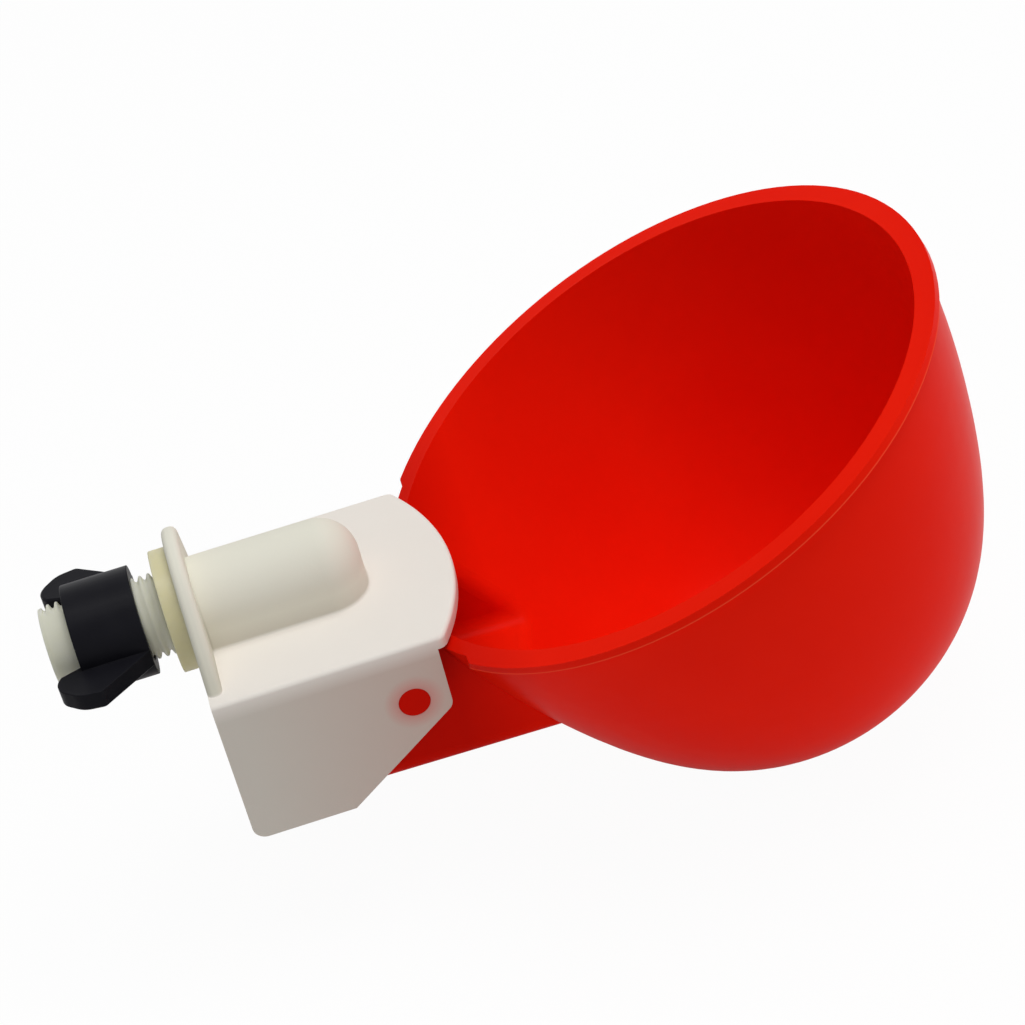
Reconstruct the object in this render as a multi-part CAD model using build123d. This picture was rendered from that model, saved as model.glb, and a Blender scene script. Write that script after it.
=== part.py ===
from build123d import *
import math
import os

# A poultry drinker: a deep bowl with a trough-shaped tail that swings on two trunnions in a
# moulded bracket. The bracket hangs on a threaded spigot, clamped by a wing nut.
# Millimetres. X runs along the spigot towards the bowl, Z is up, Y is across.
# The origin is on the spigot's axis, at the outer face of the bracket's back plate.

# Spigot
thread_diameter = 13.157
thread_length = 21.4
barrel_diameter = 10.3
barrel_clearance = 0.05
spigot_bore = 7.0
spigot_end_wall = 1.6
spigot_chamfer = 0.8

# Sealing washer and wing nut
washer_diameter = 19.5
washer_thickness = 2.8
washer_rounding = 0.12
washer_clearance = 0.15
nut_gap = 3.7
nut_diameter = 17.5
nut_length = 10.7
nut_clearance = 0.04
nut_rounding = 0.12
wing_reach = 15.5
wing_overhang = 4.9
wing_thickness = 3.0
wing_shoulder_corner = 1.2
wing_tip_corner = 4.0
wing_heel_corner = 3.0
wing_bevel = 0.3
wing_root = 1.2
wing_shoulder_run = 8.35
wing_tip_run = 3.75
wing_tip_drop = 0.6
wing_heel_drop = 4.34
wing_heel_run = 1.7

# Bracket
bracket_width = 43.0
roof_reach = 41.8
roof_bow = 5.6
roof_drop = 4.7
roof_thickness = 2.1
ear_thickness = 2.2
ear_height = 26.2
ear_setback = 1.2
ear_slant_run = 18.8
ear_slant_rise = 13.4
ear_corner = 2.0
foot_corner = 2.2
plan_corner = 1.6
plate_thickness = 2.4
tongue_radius = 12.5
tongue_foot = 19.0
tongue_round = 1.0
tunnel_radius = 7.2
tunnel_length = 28.4
tunnel_end_round = 6.3
tunnel_blend = 0.5
edge_round = 0.7
barrel_depth = 24.0

# Pivot
pivot_inset = 5.6
pivot_drop = 14.9
trunnion_diameter = 4.9
trunnion_clearance = 0.05
pivot_boss_diameter = 8.0
pivot_boss_gap = 0.4
swing = 7.0

# Bowl
rim_tilt = 21.4
rim_behind_pivot = 0.8
rim_center_z = 8.3
bowl_radius = 48.4
bowl_depth = 64.1
bowl_wall = 2.3
bowl_profile_ratios = [
    (1.0, 0.0),
    (0.9541, 0.2),
    (0.8824, 0.4),
    (0.7843, 0.6),
    (0.6752, 0.75),
    (0.5302, 0.87),
    (0.3706, 0.95),
]
mouth_draft = 0.125
lip_width = 1.1
lip_height = 1.5
lip_gap = 3.6
lip_corner = 0.9

# Trough-shaped tail of the cup
trough_width = 32.4
trough_wall = 2.0
trough_back_x = 4.5
trough_floor_drop = 30.15
trough_slope = 1.2
trough_top_gap = 1.7
trough_corner_radius = 3.5
trough_inner_radius = 2.6
mouth_round = 3.0
stop_clearance = 0.4

# Valve: a nozzle in the roof, and a pad on the trough that closes it when the bowl is heavy
valve_x = 19.0
nozzle_diameter = 6.0
nozzle_bore = 2.0
nozzle_tip_diameter = 3.6
nozzle_clearance = 0.05
nozzle_reach = 3.0
nozzle_top_diameter = 4.0
nozzle_taper = 1.2
boss_wall = 1.6
boss_height = 1.6
pad_diameter = 8.0
pad_thickness = 2.4
pad_recess = 1.4
pad_clearance = 0.05
pad_squeeze_gap = 0.3
pedestal_wall = 0.9

# Return spring between the roof and the trough floor
spring_x = 10.4
spring_diameter = 5.6
spring_wire = 0.8
spring_turns = 6.5
spring_seat_gap = 0.15
peg_diameter = 3.4
peg_height = 2.6

# How far pieces moulded together run into each other
weld = 0.1

half_width = bracket_width / 2
roof_corner_x = roof_reach - roof_bow
ear_reach = roof_corner_x - ear_setback
pivot_x = ear_reach - pivot_inset
roof_top = -roof_drop
roof_bottom = roof_top - roof_thickness
ear_bottom = roof_top - ear_height
pivot_z = -pivot_drop
rim_center_x = pivot_x + (bowl_radius - rim_behind_pivot)
rim_radius = bowl_radius + lip_width
lip_start_x = ear_reach + lip_gap
trough_half = trough_width / 2
trough_floor = -trough_floor_drop
trough_front_x = rim_center_x + (rim_center_z + trough_floor_drop) * math.tan(math.radians(rim_tilt))
trough_top = roof_bottom - trough_top_gap
nut_front = -washer_thickness - nut_gap
nut_back = nut_front - nut_length
nozzle_tip = roof_bottom - nozzle_reach
pad_top = nozzle_tip - pad_squeeze_gap
pivot_axis = Axis((pivot_x, 0, pivot_z), (0, 1, 0))
rim_plane = Plane(
    origin=(rim_center_x, 0, rim_center_z),
    x_dir=(math.cos(math.radians(rim_tilt)), 0, math.sin(math.radians(rim_tilt))),
    z_dir=(-math.sin(math.radians(rim_tilt)), 0, math.cos(math.radians(rim_tilt))),
)


def rod(diameter, start_x, end_x):
    """A round bar along the spigot axis."""
    return Plane.YZ.offset(start_x) * extrude(Circle(diameter / 2), end_x - start_x)


def post(diameter, x, bottom, top):
    """A round bar standing on Z."""
    return Pos(x, 0, bottom) * extrude(Circle(diameter / 2), top - bottom)


def pivot_rod(diameter, low_y, high_y):
    """A round bar along the pivot axis."""
    return Plane.XZ.offset(-high_y) * Pos(pivot_x, pivot_z) * extrude(Circle(diameter / 2), high_y - low_y)


def block(low, high):
    """A box between two corners."""
    size = [high[i] - low[i] for i in range(3)]
    middle = [(high[i] + low[i]) / 2 for i in range(3)]
    return Pos(*middle) * Box(*size)


def side_prism(points, low_y, high_y):
    """A prism along Y whose outline is given as x, z points."""
    outline = Polyline(*[(x, z) for x, z in points], close=True)
    face = make_face(outline)
    return Plane.XZ.offset(-high_y) * extrude(face, high_y - low_y)


def make_spigot():
    tip_x = barrel_depth - barrel_clearance
    body = rod(thread_diameter, -thread_length, 0) + rod(barrel_diameter, 0, tip_x)
    body -= rod(spigot_bore, -thread_length, tip_x - spigot_end_wall)
    body -= post(nozzle_top_diameter + 2 * nozzle_clearance, valve_x, -barrel_diameter, 0)
    end_edges = body.edges().filter_by(GeomType.CIRCLE).group_by(Axis.X)[0]
    outer_edge = end_edges.sort_by(SortBy.RADIUS)[-1]
    return chamfer(outer_edge, spigot_chamfer)


def make_washer():
    bore = thread_diameter + 2 * washer_clearance
    ring = rod(washer_diameter, -washer_thickness, 0) - rod(bore, -washer_thickness, 0)
    outer = ring.edges().filter_by(GeomType.CIRCLE).sort_by(SortBy.RADIUS)[-2:]
    return fillet(outer, washer_rounding)


def make_wing():
    """One wing of the nut, on the +Y side, lying flat above the axis."""
    root_y = nut_diameter / 2 - wing_root
    tip_x = nut_back - wing_overhang
    points = [
        (nut_front, root_y),
        (nut_front, nut_diameter / 2),
        (nut_front - wing_shoulder_run, wing_reach),
        (tip_x + wing_tip_run, wing_reach - wing_tip_drop),
        (tip_x, wing_reach - wing_heel_drop),
        (tip_x + wing_heel_run, nut_diameter / 2),
        (nut_back + nut_rounding, root_y),
    ]
    face = make_face(Polyline(*points, close=True))
    corners = face.vertices().sort_by(Axis.Y)
    face = fillet(corners[-1], wing_shoulder_corner)
    tip = face.vertices().sort_by_distance((tip_x + wing_tip_run, wing_reach - wing_tip_drop))[0]
    face = fillet(tip, wing_tip_corner)
    heel = face.vertices().sort_by(Axis.X)[0]
    face = fillet(heel, wing_heel_corner)
    wing = extrude(face, wing_thickness)
    top = wing.faces().sort_by(Axis.Z)[-1]
    return chamfer(top.edges(), wing_bevel)


def make_wing_nut():
    body = rod(nut_diameter, nut_back, nut_front)
    ends = body.edges().filter_by(GeomType.CIRCLE)
    body = fillet(ends, nut_rounding)
    wing = make_wing()
    body += wing + wing.rotate(Axis.X, 180)
    return body - rod(thread_diameter + 2 * nut_clearance, nut_back, nut_front)


def roof_plan():
    """The roof seen from above: straight sides and a bowed front edge."""
    far_corner = (roof_corner_x, half_width)
    near_corner = (roof_corner_x, -half_width)
    outline = Polyline(near_corner, (0, -half_width), (0, half_width), far_corner)
    plan = make_face(outline + ThreePointArc(far_corner, (roof_reach, 0), near_corner))
    return fillet(plan.vertices().group_by(Axis.X)[-1], plan_corner)


def back_plate():
    """The back wall: full width below the roof, tapering to a round tongue above it."""
    reach = math.hypot(tongue_foot, roof_top)
    toe = math.atan2(-roof_top, tongue_foot)
    touch = math.acos(tongue_radius / reach) - toe
    shoulder_y = tongue_radius * math.cos(touch)
    shoulder_z = tongue_radius * math.sin(touch)
    outline = Polyline(
        (-shoulder_y, shoulder_z),
        (-tongue_foot, roof_top),
        (-half_width, roof_top),
        (-half_width, ear_bottom),
        (half_width, ear_bottom),
        (half_width, roof_top),
        (tongue_foot, roof_top),
        (shoulder_y, shoulder_z),
    )
    crown = ThreePointArc((shoulder_y, shoulder_z), (0, tongue_radius), (-shoulder_y, shoulder_z))
    plate = Plane.YZ * extrude(make_face(outline + crown), plate_thickness)
    upper_edges = [e for e in plate.edges() if e.center().Z > roof_top + weld]
    tongue_edges = [e for e in upper_edges if e.length > plate_thickness + weld]
    return fillet(tongue_edges, tongue_round)


def ear():
    """The side wall on the -Y side."""
    points = [
        (0, roof_top),
        (ear_reach, roof_top),
        (ear_reach, ear_bottom + ear_slant_rise),
        (ear_reach - ear_slant_run, ear_bottom),
        (0, ear_bottom),
    ]
    plate = side_prism(points, -half_width, ear_thickness - half_width)
    across = plate.edges().filter_by(Axis.Y)
    front = [e for e in across if e.center().X > ear_reach - weld and e.center().Z < roof_bottom]
    return fillet(front, ear_corner)


def tunnel():
    """The housing over the spigot's barrel: an arch on straight walls with a rounded end."""
    arch = rod(2 * tunnel_radius, 0, tunnel_length)
    arch += block((0, -tunnel_radius, roof_bottom), (tunnel_length, tunnel_radius, 0))
    arch &= block((0, -half_width, roof_bottom), (roof_reach, half_width, tongue_radius))
    end_face = arch.faces().sort_by(Axis.X)[-1]
    end_edges = [e for e in end_face.edges() if e.center().Z > roof_bottom + weld]
    return fillet(end_edges, tunnel_end_round)


def make_bracket():
    body = Pos(0, 0, roof_bottom) * extrude(roof_plan(), roof_thickness)
    body += ear() + mirror(ear(), Plane.XZ) + back_plate() + tunnel()
    level_edges = [e for e in body.edges() if e.bounding_box().size.Z < weld]
    roof_edges = [e for e in level_edges if abs(e.center().Z - roof_top) < weld]
    base = [
        e
        for e in roof_edges
        if abs(e.center().Y) < tunnel_radius + weld
        and plate_thickness + weld < e.center().X < tunnel_length + weld
    ]
    body = fillet(base, tunnel_blend)
    rim = [
        e
        for e in body.edges()
        if abs(e.center().Z - roof_top) < weld
        and e.bounding_box().size.Z < weld
        and (abs(abs(e.center().Y) - half_width) < weld or e.center().X > ear_reach)
    ]
    body = fillet(rim, edge_round)
    rear = [e for e in body.edges().filter_by(Axis.Y) if e.center().X < weld]
    foot = [e for e in rear if e.center().Z < ear_bottom + weld]
    body = fillet(foot, foot_corner)
    boss = nozzle_diameter + 2 * boss_wall
    body += post(boss, valve_x, roof_bottom - boss_height, roof_bottom + weld)
    body += post(peg_diameter, spring_x, roof_bottom - peg_height, roof_bottom + weld)
    body -= rod(barrel_diameter + 2 * barrel_clearance, 0, barrel_depth)
    body -= post(nozzle_diameter + 2 * nozzle_clearance, valve_x, ear_bottom, -barrel_diameter / 2)
    body -= post(nozzle_top_diameter + 2 * nozzle_clearance, valve_x, ear_bottom, 0)
    return body - pivot_rod(trunnion_diameter + 2 * trunnion_clearance, -half_width, half_width)


def bowl_curve(inset):
    """Half of the bowl's section in its own frame, moved inwards by inset."""
    ends = [(-mouth_draft, -1), (-1, 0)]
    rings = [(bowl_radius * r, -bowl_depth * h) for r, h in bowl_profile_ratios]
    outer = Spline(rings + [(0, -bowl_depth)], tangents=ends)
    if inset == 0:
        return outer
    points = []
    steps = len(bowl_profile_ratios)
    for i in range(steps + 1):
        place = outer @ (i / steps)
        along = outer % (i / steps)
        points.append((place.X + along.Y * inset, place.Y - along.X * inset))
    start, end = points[0], points[-1]
    points[0] = (start[0], 0)
    points[-1] = (0, end[1])
    return Spline(points, tangents=ends)


def bowl_solid(inset, height):
    """The bowl as a solid of revolution, closed by a stub of the given height above its rim."""
    curve = bowl_curve(inset)
    mouth = curve @ 0
    bottom = curve @ 1
    corners = [(bottom.X, bottom.Y), (0, height), (mouth.X, height)]
    if height > 0:
        corners.append((mouth.X, 0))
    closing = Polyline(*corners)
    profile = Plane.XZ * make_face(curve + closing)
    return rim_plane.location * revolve(profile, Axis.Z)


def lip_ring():
    """The outward lip under the rim, left off beside the bracket."""
    overlap = bowl_wall / 2
    ring = Pos(0, 0, -lip_height) * extrude(Circle(rim_radius) - Circle(bowl_radius - overlap), lip_height)
    ring = rim_plane.location * ring
    reach = rim_center_x + rim_radius
    ring &= block((lip_start_x, -rim_radius, -reach), (reach, rim_radius, reach))
    end_edges = ring.edges().filter_by_position(Axis.X, lip_start_x - weld, lip_start_x + weld)
    outer_corners = end_edges.sort_by(lambda e: abs(e.center().Y))[-2:]
    return fillet(outer_corners, lip_corner)


def floor_level(x):
    """Height of the trough's floor, which falls gently towards the bowl."""
    return trough_floor - (x - trough_back_x) * math.tan(math.radians(trough_slope))


def round_floor(prism, radius):
    """Rounds a trough prism along its bottom and down its rear corners, but not at its front."""
    low_edges = prism.faces().sort_by(Axis.Z)[0].edges().sort_by(Axis.X)[:-1]
    rear_edges = prism.edges().filter_by(Axis.Z).group_by(Axis.X)[0]
    return fillet(low_edges + rear_edges, radius)


def trough_outside():
    """The tail's outline, with its top sloping down to the rear to clear the roof."""
    rise = math.sin(math.radians(swing)) * (pivot_x - trough_back_x)
    rear_top = roof_bottom - stop_clearance - rise
    points = [
        (trough_back_x, floor_level(trough_back_x) - trough_wall),
        (trough_front_x, floor_level(trough_front_x) - trough_wall),
        (trough_front_x, trough_top),
        (pivot_x, trough_top),
        (trough_back_x, rear_top),
    ]
    return round_floor(side_prism(points, -trough_half, trough_half), trough_corner_radius)


def trough_inside():
    """The channel in the tail, open at the top."""
    half = trough_half - trough_wall
    rear_x = trough_back_x + trough_wall
    points = [
        (rear_x, floor_level(rear_x)),
        (trough_front_x, floor_level(trough_front_x)),
        (trough_front_x, rim_center_z),
        (rear_x, rim_center_z),
    ]
    return round_floor(side_prism(points, -half, half), trough_inner_radius)


def pedestal():
    """The post that carries the valve pad, upright when the valve is closed."""
    outer = pad_diameter + 2 * (pad_clearance + pedestal_wall)
    seat = pad_top - pad_thickness
    column = post(outer, valve_x, -rim_radius, seat + pad_recess)
    column -= post(pad_diameter + 2 * pad_clearance, valve_x, seat, pad_top)
    column = column.rotate(pivot_axis, -swing)
    low_z = floor_level(valve_x) - trough_wall / 2
    return column & block((trough_back_x, -trough_half, low_z), (ear_reach, trough_half, 0))


def make_cup():
    inside = bowl_solid(bowl_wall, rim_radius)
    channel = trough_inside()
    hollow = inside + channel
    hollow = fillet(new_edges(inside, channel, combined=hollow), mouth_round)
    body = bowl_solid(0, 0) + lip_ring() + trough_outside() - hollow
    body += pedestal()
    body += post(peg_diameter, spring_x, floor_level(spring_x) - weld, floor_level(spring_x) + peg_height)
    inner = trough_half - trough_wall / 2
    shoulder = half_width - ear_thickness - pivot_boss_gap
    for diameter, reach in ((trunnion_diameter, half_width), (pivot_boss_diameter, shoulder)):
        body += pivot_rod(diameter, inner, reach)
        body += pivot_rod(diameter, -reach, -inner)
    return body


def make_nozzle():
    shoulder = -barrel_diameter / 2 - barrel_clearance
    taper_top = nozzle_tip + nozzle_taper
    body = post(nozzle_diameter, valve_x, taper_top, shoulder)
    body += post(nozzle_top_diameter, valve_x, shoulder, -spigot_bore / 2 - weld)
    tip_face = Pos(valve_x, 0, nozzle_tip) * Circle(nozzle_tip_diameter / 2)
    base_face = Pos(valve_x, 0, taper_top) * Circle(nozzle_diameter / 2)
    body += loft([tip_face, base_face])
    return body - post(nozzle_bore, valve_x, nozzle_tip - weld, 0)


def make_pad():
    pad = post(pad_diameter, valve_x, pad_top - pad_thickness, pad_top)
    return pad.rotate(pivot_axis, -swing)


def make_spring():
    """A compression spring with its coils evenly spaced."""
    bottom = floor_level(spring_x) + spring_seat_gap + spring_wire / 2
    top = roof_bottom - spring_seat_gap - spring_wire / 2
    mean_radius = (spring_diameter - spring_wire) / 2
    pitch = (top - bottom) / spring_turns
    coil = Helix(pitch, top - bottom, mean_radius)
    start = Plane(origin=coil @ 0, z_dir=coil % 0)
    wire = sweep(start * Circle(spring_wire / 2), path=coil, is_frenet=True)
    return Pos(spring_x, 0, bottom) * wire


nodes = {
    "bracket": make_bracket(),
    "spigot": make_spigot(),
    "sealing_washer": make_washer(),
    "wing_nut": make_wing_nut(),
    "cup": make_cup(),
    "valve_nozzle": make_nozzle(),
    "valve_pad": make_pad(),
    "return_spring": make_spring(),
}

os.makedirs("parts", exist_ok=True)
for name, solid in nodes.items():
    export_step(solid, f"parts/{name}.step")
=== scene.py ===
import bpy
import bmesh
import math
from mathutils import Matrix, Vector

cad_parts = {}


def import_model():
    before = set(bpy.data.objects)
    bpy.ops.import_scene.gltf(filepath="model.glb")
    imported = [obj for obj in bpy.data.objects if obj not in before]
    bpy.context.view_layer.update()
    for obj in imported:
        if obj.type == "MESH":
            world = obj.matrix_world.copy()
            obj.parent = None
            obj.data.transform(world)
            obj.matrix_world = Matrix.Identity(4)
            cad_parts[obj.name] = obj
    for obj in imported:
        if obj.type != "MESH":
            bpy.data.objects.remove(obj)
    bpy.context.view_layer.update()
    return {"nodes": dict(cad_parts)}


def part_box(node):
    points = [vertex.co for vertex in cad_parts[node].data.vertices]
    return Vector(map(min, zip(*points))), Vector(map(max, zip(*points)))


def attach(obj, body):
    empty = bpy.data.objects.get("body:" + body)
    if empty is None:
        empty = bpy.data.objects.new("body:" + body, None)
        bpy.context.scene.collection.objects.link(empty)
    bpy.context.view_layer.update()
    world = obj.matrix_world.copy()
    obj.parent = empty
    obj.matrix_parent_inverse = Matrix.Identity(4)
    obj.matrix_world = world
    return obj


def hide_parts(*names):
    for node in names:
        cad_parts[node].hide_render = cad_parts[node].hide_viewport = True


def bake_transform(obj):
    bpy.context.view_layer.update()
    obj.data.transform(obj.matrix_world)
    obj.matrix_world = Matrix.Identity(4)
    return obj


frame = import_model()
nodes = frame["nodes"]
scene = bpy.context.scene
scene.view_settings.view_transform = "Standard"

MM = 0.001
MICRON = 0.000001

# Camera, solved from the outlines in the photograph
IMAGE_PX = 1025
FOCAL_PX = 2873.67
SENSOR_MM = 36.0
CAMERA_PLACE = Vector((21.499, -372.751, 244.563)) * MM
CAMERA_RIGHT = Vector((0.952332, -0.219838, -0.211509))
CAMERA_UP = Vector((0.296894, 0.508497, 0.808260))
CAMERA_AHEAD = Vector((0.070135, 0.832527, -0.549527))

# Lamps: place in metres, diameter in metres, watts. All aim at the part's middle.
PART_MIDDLE = (0.05, 0, -0.01)
LAMPS = {
    "key": ((0.25, -0.06, 1.15), 0.9, 8.3),
    "side": ((1.05, -0.25, 0.28), 0.8, 1.5),
    "fill": ((-0.45, -1.0, 0.30), 1.0, 0.15),
}
WORLD_STRENGTH = 0.30

# Floor: half its width in metres, its gap under the cup, the share of it that glows white to the
# camera, and the part of that glow in reflections, where the rest is lit and keeps the shadow
FLOOR_HALF_WIDTH = 3.0
FLOOR_GAP = 0.2 * MM
FLOOR_GREY = 0.90
FLOOR_GLOW = 0.96
FLOOR_REFLECTED = 0.2

# Bowl rim and pivot, in the part's own frame
RIM_CENTRE = Vector((77.0, 0, 8.3)) * MM
RIM_TILT = math.radians(21.4)
RIM_NORMAL = (-math.sin(RIM_TILT), 0, math.cos(RIM_TILT))
PIVOT_X = 29.4 * MM
PIVOT_Z = -14.9 * MM

# Painted highlight, a pale line on the lip's lower outer edge: its drop below the rim's plane, the
# half widths of its core and of its fade, and the radii between which it sets in
LIP_HIGHLIGHT_DROP = 1.45 * MM
LIP_HIGHLIGHT_CORE = 0.10 * MM
LIP_HIGHLIGHT_FADE = 0.24 * MM
LIP_HIGHLIGHT_INNER = 49.1 * MM
LIP_HIGHLIGHT_OUTER = 49.3 * MM

# Spigot and return spring, as in the CAD model
THREAD_RADIUS = 6.5785 * MM
THREAD_LENGTH = 21.4 * MM
BARREL_RADIUS = 5.15 * MM
BARREL_END = 23.95 * MM
BORE_RADIUS = 3.5 * MM
BORE_END = 22.35 * MM
SPRING_X = 10.4 * MM
SPRING_RADIUS = 2.4 * MM
WIRE_RADIUS = 0.4 * MM
SPRING_TURNS = 6.5

# Thread's form: the length over which it rises from the free end and its height there, and the
# shares of one pitch taken by the root and by the flank
THREAD_PITCH = 1.337 * MM
THREAD_DEPTH = 0.80 * MM
LEAD_IN = 1.6 * MM
END_HEIGHT = 0.55
ROOT_SHARE = 0.14
FLANK_SHARE = 0.72
MOUTH_CHAMFER = 0.25 * MM

# The thread's two moulded flats: where they lie, the cosines at which they begin and how fast
# they set in, their height, and how flat they are before they deepen towards the free end
FLAT_ANGLE = math.radians(146.6)
FLAT_EDGE = 0.2
FLAT_BLEND = 0.45
FLAT_HEIGHT = 0.72
FLATNESS = 0.86
DEEPENING_START = -15.0 * MM
DEEPENING_END = -18.0 * MM

# Spring's form: closed turns at either end, and their spacing in wire radii
CLOSED_TURNS = 0.9
CLOSED_SPACING = 2.05

# How finely the spigot and the coil are divided
SPIGOT_STEPS = 72
STEPS_PER_PITCH = 12
STEPS_PER_TURN = 28
WIRE_STEPS = 10

# Span of a noise's values that colour and roughness follow
NOISE_SPAN = (0.3, 0.7)


def camera():
    """The photograph's camera, without depth of field or shift."""
    data = bpy.data.cameras.new("camera")
    data.sensor_fit = "AUTO"
    data.sensor_width = SENSOR_MM
    data.lens = FOCAL_PX / IMAGE_PX * SENSOR_MM
    data.clip_start = 0.01
    data.clip_end = 20.0
    obj = bpy.data.objects.new("camera", data)
    scene.collection.objects.link(obj)
    back = -CAMERA_AHEAD
    turn = Matrix((CAMERA_RIGHT, CAMERA_UP, back)).transposed()
    obj.matrix_world = Matrix.Translation(CAMERA_PLACE) @ turn.to_4x4()
    scene.camera = obj


def area_light(name, place, size, watts):
    """A round soft lamp that aims at the part's middle."""
    data = bpy.data.lights.new(name, "AREA")
    data.shape = "DISK"
    data.size = size
    data.energy = watts
    obj = bpy.data.objects.new(name, data)
    scene.collection.objects.link(obj)
    obj.location = place
    ahead = Vector(PART_MIDDLE) - Vector(place)
    obj.rotation_euler = ahead.to_track_quat("-Z", "Y").to_euler()


def background_rays(tree, reflected=1.0):
    """1 for rays from the camera, and the share reflected for those from gloss or through glass."""
    path = tree.nodes.new("ShaderNodeLightPath")
    share = path.outputs["Is Camera Ray"]
    for ray in ("Is Glossy Ray", "Is Transmission Ray"):
        part = tree.nodes.new("ShaderNodeMath")
        part.operation = "MULTIPLY"
        part.inputs[1].default_value = reflected
        tree.links.new(path.outputs[ray], part.inputs[0])
        either = tree.nodes.new("ShaderNodeMath")
        either.operation = "MAXIMUM"
        tree.links.new(share, either.inputs[0])
        tree.links.new(part.outputs[0], either.inputs[1])
        share = either.outputs[0]
    return share


def world(strength):
    """White to the camera and in reflections, and at the given strength as light."""
    w = bpy.data.worlds.new("world")
    scene.world = w
    w.use_nodes = True
    tree = w.node_tree
    tree.nodes.clear()
    out = tree.nodes.new("ShaderNodeOutputWorld")
    mix = tree.nodes.new("ShaderNodeMixShader")
    tree.links.new(background_rays(tree), mix.inputs["Fac"])
    for socket, level in ((1, strength), (2, 1.0)):
        background = tree.nodes.new("ShaderNodeBackground")
        background.inputs["Color"].default_value = (1, 1, 1, 1)
        background.inputs["Strength"].default_value = level
        tree.links.new(background.outputs[0], mix.inputs[socket])
    tree.links.new(mix.outputs[0], out.inputs["Surface"])


class Shader:
    """A Principled material with small helpers for its nodes."""

    def __init__(self, name, **sockets):
        self.material = bpy.data.materials.new(name)
        self.material.use_nodes = True
        self.tree = self.material.node_tree
        self.bsdf = self.tree.nodes["Principled BSDF"]
        for key, value in sockets.items():
            self.bsdf.inputs[key.replace("_", " ")].default_value = value
        self.coordinates = self.node("TexCoord").outputs["Object"]

    def node(self, kind, **settings):
        n = self.tree.nodes.new("ShaderNode" + kind)
        for key, value in settings.items():
            if hasattr(n, key):
                setattr(n, key, value)
            else:
                n.inputs[key.replace("_", " ")].default_value = value
        return n

    def link(self, a, b):
        self.tree.links.new(a, b)

    def noise(self, scale, detail=4.0, roughness=0.55, stretch=None):
        n = self.node("TexNoise", Scale=scale, Detail=detail, Roughness=roughness)
        source = self.coordinates
        if stretch:
            m = self.node("Mapping", Scale=stretch)
            self.link(source, m.inputs["Vector"])
            source = m.outputs[0]
        self.link(source, n.inputs["Vector"])
        return n.outputs["Fac"]

    def mottled(self, scale, low_colour, high_colour, detail=4.0):
        """A colour that wanders between two by a noise."""
        value = self.noise(scale, detail)
        r = self.node("ValToRGB")
        ends = r.color_ramp.elements
        for end, position, colour in zip(ends, NOISE_SPAN, (low_colour, high_colour)):
            end.position = position
            end.color = (*colour, 1)
        self.link(value, r.inputs["Fac"])
        return r.outputs["Color"]

    def range(self, value, low, high, to_low, to_high):
        r = self.node("MapRange", From_Min=low, From_Max=high, To_Min=to_low, To_Max=to_high)
        self.link(value, r.inputs["Value"])
        return r.outputs["Result"]

    def fade(self, value, start, end):
        """0 up to start and 1 from end on, both in millimetres."""
        return self.range(value, start * MM, end * MM, 0.0, 1.0)

    def place(self):
        """The X and Z of the point that is shaded, in the part's frame."""
        axes = self.node("SeparateXYZ")
        self.link(self.coordinates, axes.inputs[0])
        return axes.outputs["X"], axes.outputs["Z"]

    def mix(self, share, a, b):
        """Colour a where the share is 0 and colour b where it is 1."""
        m = self.node("Mix", data_type="RGBA")
        self.link(share, m.inputs["Factor"])
        for value, key in ((a, 6), (b, 7)):
            if isinstance(value, tuple):
                m.inputs[key].default_value = (*value, 1)
            else:
                self.link(value, m.inputs[key])
        return m.outputs[2]

    def math(self, operation, a, b=None):
        m = self.node("Math", operation=operation)
        for i, value in enumerate((a, b)):
            if value is None:
                continue
            if isinstance(value, (int, float)):
                m.inputs[i].default_value = value
            else:
                self.link(value, m.inputs[i])
        return m.outputs[0]

    def colour(self, value):
        self.link(value, self.bsdf.inputs["Base Color"])

    def rough(self, value, low, high):
        """Roughness that follows a noise from low to high."""
        roughness = self.range(value, *NOISE_SPAN, low, high)
        self.link(roughness, self.bsdf.inputs["Roughness"])

    def distance(self, point):
        """The vector from a point of the part, and its length."""
        v = self.node("VectorMath", operation="SUBTRACT")
        self.link(self.coordinates, v.inputs[0])
        v.inputs[1].default_value = point
        length = self.node("VectorMath", operation="LENGTH")
        self.link(v.outputs[0], length.inputs[0])
        return v.outputs[0], length.outputs["Value"]

    def lip_highlight(self):
        """1 on the painted highlight, a thin line along the lower outer edge of the bowl's lip."""
        offset, reach = self.distance(RIM_CENTRE)
        along = self.node("VectorMath", operation="DOT_PRODUCT")
        self.link(offset, along.inputs[0])
        along.inputs[1].default_value = RIM_NORMAL
        above_edge = self.math("ADD", along.outputs["Value"], LIP_HIGHLIGHT_DROP)
        off_edge = self.math("ABSOLUTE", above_edge)
        on_edge = self.range(off_edge, LIP_HIGHLIGHT_CORE, LIP_HIGHLIGHT_FADE, 1.0, 0.0)
        outside = self.range(reach, LIP_HIGHLIGHT_INNER, LIP_HIGHLIGHT_OUTER, 0.0, 1.0)
        return self.math("MULTIPLY", on_edge, outside)

    def soft_edges(self, radius):
        """Edges that shade as if rounded."""
        b = self.node("Bevel", samples=8, Radius=radius)
        self.link(b.outputs[0], self.bsdf.inputs["Normal"])

    def bump(self, height, distance, strength):
        """A fine grain, over what the normal has already."""
        b = self.node("Bump")
        b.inputs["Distance"].default_value = distance
        b.inputs["Strength"].default_value = strength
        self.link(height, b.inputs["Height"])
        last = self.bsdf.inputs["Normal"].links
        if last:
            self.link(last[0].from_socket, b.inputs["Normal"])
        self.link(b.outputs[0], self.bsdf.inputs["Normal"])


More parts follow.
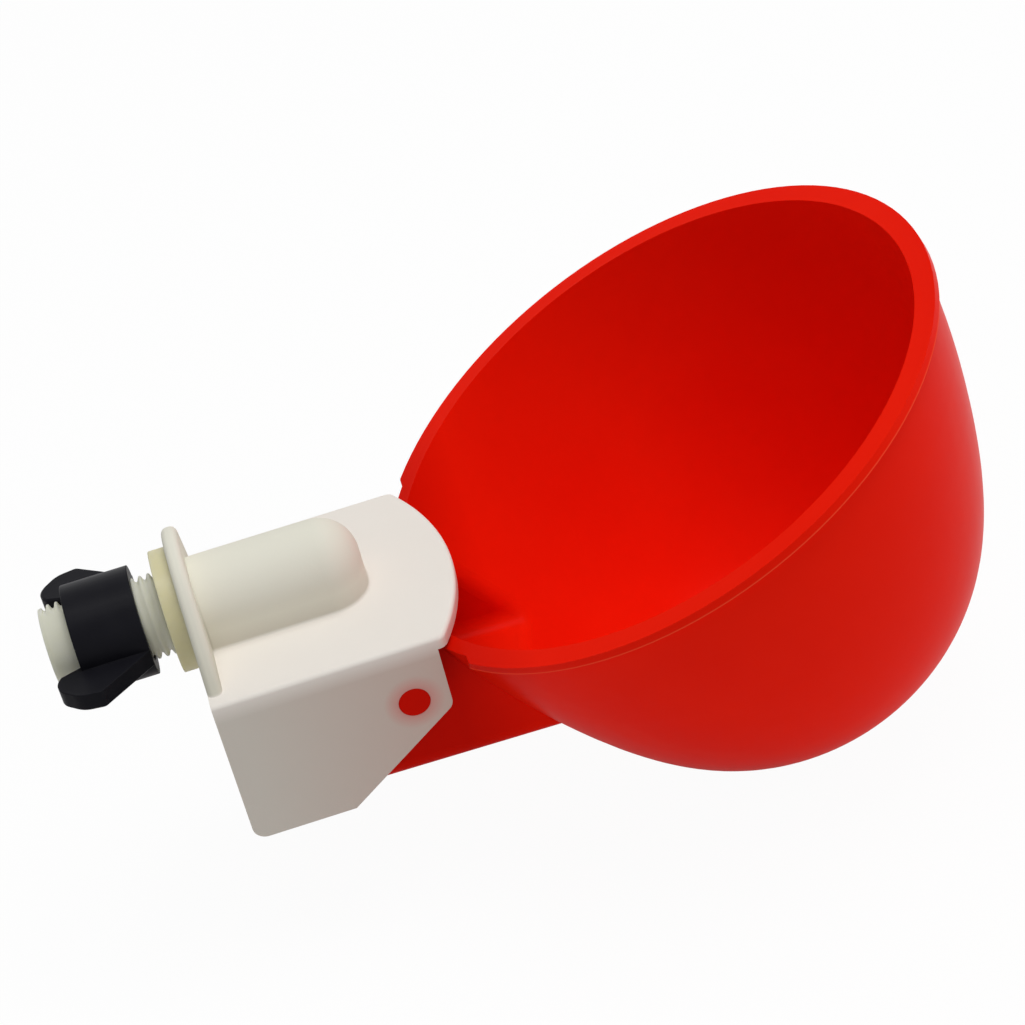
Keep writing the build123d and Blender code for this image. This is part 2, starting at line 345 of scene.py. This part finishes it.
def red_plastic():
    """Deep red, with painted shade, a darker red in the tail and pins for the light that the bowl's
    thin wall lets through elsewhere and for the bracket's shadow, and a painted highlight on the
    lip's lower outer edge.
    """
    s = Shader("red_plastic", IOR=1.45, Specular_IOR_Level=0.02)
    bowl = s.mottled(45, (0.91, 0.0100, 0.0014), (0.94, 0.0125, 0.0020), detail=3)
    # Painted shade: the tail and pins, back from the bowl, are a darker red, for the light that the
    # bowl's thin wall lets through elsewhere and for the bracket's shadow.
    x, _ = s.place()
    body = s.mix(s.fade(x, 36, 48), (0.66, 0.006, 0.001), bowl)
    # Painted highlight on the lip's lower outer edge.
    s.colour(s.mix(s.lip_highlight(), body, (0.98, 0.062, 0.024)))
    s.rough(s.noise(90, 3), 0.285, 0.315)
    s.bump(s.noise(2600, 2), 4 * MICRON, 0.5)
    return s.material


def white_plastic():
    """Warm white, creamier over the barrel, with painted shade on the ears and at the feet of the
    housing and back plate, and painted red light on the ears, round the pins most.
    """
    s = Shader("white_plastic", IOR=1.48, Specular_IOR_Level=0.08)
    x, z = s.place()
    body = s.mottled(60, (0.90, 0.855, 0.79), (0.92, 0.875, 0.81))
    above_roof = s.fade(z, -4.7, -4.3)
    # The housing over the barrel is creamier; its foot on the roof is darker, painted shade for the
    # joint with the roof.
    housing_tint_and_foot_shade = s.mix(s.fade(z, -4.5, -1.5), (0.72, 0.69, 0.60), (0.84, 0.825, 0.715))
    body = s.mix(above_roof, body, housing_tint_and_foot_shade)
    # Painted shade on the foot of the back plate, in the crevice by the housing and the roof.
    back_plate = s.math("MULTIPLY", above_roof, s.fade(x, 2.8, 2.5))
    plate_foot_shade = s.math("MULTIPLY", back_plate, s.fade(z, 7.5, -3.5))
    body = s.mix(plate_foot_shade, body, (0.67, 0.65, 0.55))
    # Painted shade and painted red light: below the roof, the ears are darker than the roof, which
    # faces the lamp above, and redder towards the bowl, for the red light that the bowl and tail
    # cast and let through.
    ear = s.mix(s.fade(x, 3, 34), (0.69, 0.65, 0.58), (0.655, 0.52, 0.455))
    aside = s.math("SUBTRACT", x, PIVOT_X)
    over = s.math("SUBTRACT", z, PIVOT_Z)
    squares = s.math("ADD", s.math("MULTIPLY", aside, aside), s.math("MULTIPLY", over, over))
    # Painted red glow round each pin, for the red light that comes through the white plastic.
    ear = s.mix(s.fade(s.math("SQRT", squares), 4.8, 2.4), ear, (0.68, 0.33, 0.29))
    s.colour(s.mix(s.fade(z, -5.0, -8.0), body, ear))
    s.rough(s.noise(220, 3), 0.50, 0.60)
    s.bump(s.noise(1600, 3), 20 * MICRON, 0.5)
    return s.material


def cream_plastic():
    """The spigot's cream, a little translucent."""
    s = Shader(
        "cream_plastic", IOR=1.48, Specular_IOR_Level=0.12, Subsurface_Weight=0.7,
        Subsurface_Radius=(1.0, 1.0, 0.8), Subsurface_Scale=1.6 * MM,
    )
    s.colour(s.mottled(120, (0.67, 0.67, 0.56), (0.72, 0.72, 0.61)))
    s.rough(s.noise(300, 3), 0.36, 0.50)
    s.bump(s.noise(1200, 3), 20 * MICRON, 0.4)
    return s.material


def washer_rubber():
    """The washer's translucent yellowish rubber."""
    s = Shader(
        "washer_rubber", IOR=1.45, Subsurface_Weight=0.6,
        Subsurface_Radius=(1.0, 0.95, 0.6), Subsurface_Scale=2 * MM,
    )
    s.colour(s.mottled(200, (0.68, 0.63, 0.38), (0.73, 0.68, 0.43)))
    s.rough(s.noise(300, 3), 0.38, 0.50)
    s.bump(s.noise(900, 3), 20 * MICRON, 0.4)
    return s.material


def black_plastic():
    """The nut's black, with faint streaks along its axis and edges that catch the light."""
    s = Shader("black_plastic", IOR=1.5, Specular_IOR_Level=0.05)
    s.colour(s.mottled(150, (0.0066, 0.0066, 0.0092), (0.0098, 0.0098, 0.0130)))
    streaks = s.noise(900, 3, stretch=(0.06, 1, 1))
    s.rough(streaks, 0.30, 0.44)
    s.soft_edges(0.25 * MM)
    s.bump(streaks, 30 * MICRON, 0.35)
    s.bump(s.noise(1300, 3), 10 * MICRON, 0.4)
    return s.material


def brass():
    """The nozzle's turned brass, with fine grooves around its upright axis."""
    s = Shader("brass", Metallic=1.0)
    s.colour(s.mottled(300, (0.62, 0.43, 0.18), (0.74, 0.54, 0.25)))
    s.rough(s.noise(500, 3, stretch=(1, 1, 12)), 0.22, 0.38)
    s.bump(s.noise(400, 2, stretch=(1, 1, 20)), 10 * MICRON, 0.5)
    return s.material


def black_rubber():
    """The valve pad's soft black rubber."""
    s = Shader("black_rubber", IOR=1.5)
    s.colour(s.mottled(200, (0.018, 0.018, 0.018), (0.03, 0.03, 0.03)))
    s.rough(s.noise(260, 3), 0.60, 0.75)
    s.bump(s.noise(1500, 3), 30 * MICRON, 0.6)
    return s.material


def spring_steel():
    """The spring's drawn stainless wire."""
    s = Shader("spring_steel", Metallic=1.0)
    s.colour(s.mottled(300, (0.50, 0.50, 0.50), (0.62, 0.62, 0.61)))
    s.rough(s.noise(600, 3), 0.22, 0.36)
    return s.material


def set_material(obj, material):
    obj.data.materials.clear()
    obj.data.materials.append(material)


def mesh_object(name, bm, material):
    """A smooth-shaded object from a bmesh, which this uses up."""
    mesh = bpy.data.meshes.new(name)
    bmesh.ops.recalc_face_normals(bm, faces=bm.faces)
    bm.to_mesh(mesh)
    bm.free()
    for p in mesh.polygons:
        p.use_smooth = True
    obj = bpy.data.objects.new(name, mesh)
    scene.collection.objects.link(obj)
    set_material(obj, material)
    return obj


def smooth(t):
    t = min(max(t, 0.0), 1.0)
    return t * t * (3 - 2 * t)


def thread_height(phase):
    """Share of the thread's full height at a phase from 0 to 1 along one pitch."""
    flank = abs(((phase % 1.0) - 0.5) * 2)
    return smooth((flank - ROOT_SHARE) / FLANK_SHARE)


def thread_fullness(x, angle):
    """1 where the thread is fully formed, less on the two flats, which deepen at the free end."""
    flat = smooth((abs(math.cos(angle - FLAT_ANGLE)) - FLAT_EDGE) / FLAT_BLEND)
    at_end = smooth((x - DEEPENING_START) / (DEEPENING_END - DEEPENING_START))
    return 1 - flat * (FLATNESS + (1 - FLATNESS) * at_end)


def ring_of(bm, x, radii):
    """A ring of points about the X axis, one for each radius."""
    ring = []
    for i, radius in enumerate(radii):
        angle = 2 * math.pi * i / len(radii)
        ring.append(bm.verts.new((x, radius * math.cos(angle), radius * math.sin(angle))))
    return ring


def round_ring(bm, x, radius):
    return ring_of(bm, x, [radius] * SPIGOT_STEPS)


def bridge(bm, a, b):
    """Faces between two rings with as many points each."""
    n = len(a)
    for i in range(n):
        bm.faces.new((a[i], a[(i + 1) % n], b[(i + 1) % n], b[i]))


def spigot(material):
    """The threaded spigot with its helical thread, bore and hidden barrel."""
    bm = bmesh.new()
    start = -THREAD_LENGTH
    count = int(THREAD_LENGTH / THREAD_PITCH * STEPS_PER_PITCH)
    core = THREAD_RADIUS - THREAD_DEPTH
    rings = []
    for k in range(count + 1):
        x = start + THREAD_LENGTH * k / count
        entry = min((x - start) / LEAD_IN, 1.0)
        top = core + THREAD_DEPTH * (END_HEIGHT + (1 - END_HEIGHT) * entry)
        radii = []
        for i in range(SPIGOT_STEPS):
            turn = i / SPIGOT_STEPS
            share = thread_height(x / THREAD_PITCH - turn)
            full = thread_fullness(x, 2 * math.pi * turn)
            share = share * full + FLAT_HEIGHT * (1 - full)
            radii.append(min(core + THREAD_DEPTH * share, top))
        rings.append(ring_of(bm, x, radii))
    rings.append(round_ring(bm, 0, BARREL_RADIUS))
    rings.append(round_ring(bm, BARREL_END, BARREL_RADIUS))
    for a, b in zip(rings, rings[1:]):
        bridge(bm, a, b)
    bm.faces.new(rings[-1])
    mouth = round_ring(bm, start, BORE_RADIUS + MOUTH_CHAMFER)
    throat = round_ring(bm, start + MOUTH_CHAMFER, BORE_RADIUS)
    deep = round_ring(bm, BORE_END, BORE_RADIUS)
    bridge(bm, rings[0], mouth)
    bridge(bm, mouth, throat)
    bridge(bm, throat, deep)
    bm.faces.new(deep)
    piece = mesh_object("spigot_threaded", bm, material)
    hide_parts("spigot")
    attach(piece, "bracket")


def spring(material):
    """The return spring: an open coil with closed turns at either end."""
    low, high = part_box("return_spring")
    bottom = low.z + WIRE_RADIUS
    top = high.z - WIRE_RADIUS
    turns = SPRING_TURNS + 2 * CLOSED_TURNS
    closed_share = CLOSED_TURNS / turns
    closed_rise = WIRE_RADIUS * CLOSED_SPACING * CLOSED_TURNS
    open_rise = top - bottom - 2 * closed_rise
    count = int(turns * STEPS_PER_TURN)
    up = Vector((0, 0, 1))
    bm = bmesh.new()
    rings = []
    for k in range(count + 1):
        t = k / count
        angle = 2 * math.pi * turns * t
        if t < closed_share:
            z = bottom + closed_rise * t / closed_share
        elif t > 1 - closed_share:
            z = top - closed_rise * (1 - t) / closed_share
        else:
            z = bottom + closed_rise + open_rise * (t - closed_share) / (1 - 2 * closed_share)
        out = Vector((math.cos(angle), math.sin(angle), 0))
        middle = Vector((SPRING_X, 0, z)) + out * SPRING_RADIUS
        ring = []
        for j in range(WIRE_STEPS):
            a = 2 * math.pi * j / WIRE_STEPS
            ring.append(bm.verts.new(middle + (out * math.cos(a) + up * math.sin(a)) * WIRE_RADIUS))
        rings.append(ring)
    for a, b in zip(rings, rings[1:]):
        bridge(bm, a, b)
    bm.faces.new(rings[0])
    bm.faces.new(rings[-1])
    piece = mesh_object("spring_coil", bm, material)
    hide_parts("return_spring")
    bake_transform(piece)


def floor():
    """A pale floor that is almost white to the camera and keeps a little of the shadow."""
    bm = bmesh.new()
    bmesh.ops.create_grid(bm, x_segments=1, y_segments=1, size=FLOOR_HALF_WIDTH)
    mesh = bpy.data.meshes.new("floor")
    bm.to_mesh(mesh)
    bm.free()
    obj = bpy.data.objects.new("floor", mesh)
    scene.collection.objects.link(obj)
    obj.location = (0, 0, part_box("cup")[0].z - FLOOR_GAP)
    grey = (FLOOR_GREY, FLOOR_GREY, FLOOR_GREY, 1)
    s = Shader("floor", Base_Color=grey, Roughness=0.95, Specular_IOR_Level=0.0)
    glow = s.node("Emission", Strength=1.0)
    share = s.math("MULTIPLY", background_rays(s.tree, FLOOR_REFLECTED), FLOOR_GLOW)
    mix = s.node("MixShader")
    s.link(share, mix.inputs["Fac"])
    s.link(s.bsdf.outputs[0], mix.inputs[1])
    s.link(glow.outputs[0], mix.inputs[2])
    s.link(mix.outputs[0], s.tree.nodes["Material Output"].inputs["Surface"])
    set_material(obj, s.material)


camera()
world(WORLD_STRENGTH)
for name, (place, size, watts) in LAMPS.items():
    area_light(name, place, size, watts)
floor()

materials = {
    "bracket": white_plastic(),
    "wing_nut": black_plastic(),
    "sealing_washer": washer_rubber(),
    "cup": red_plastic(),
    "valve_nozzle": brass(),
    "valve_pad": black_rubber(),
}
for name, material in materials.items():
    set_material(nodes[name], material)
spigot(cream_plastic())
spring(spring_steel())
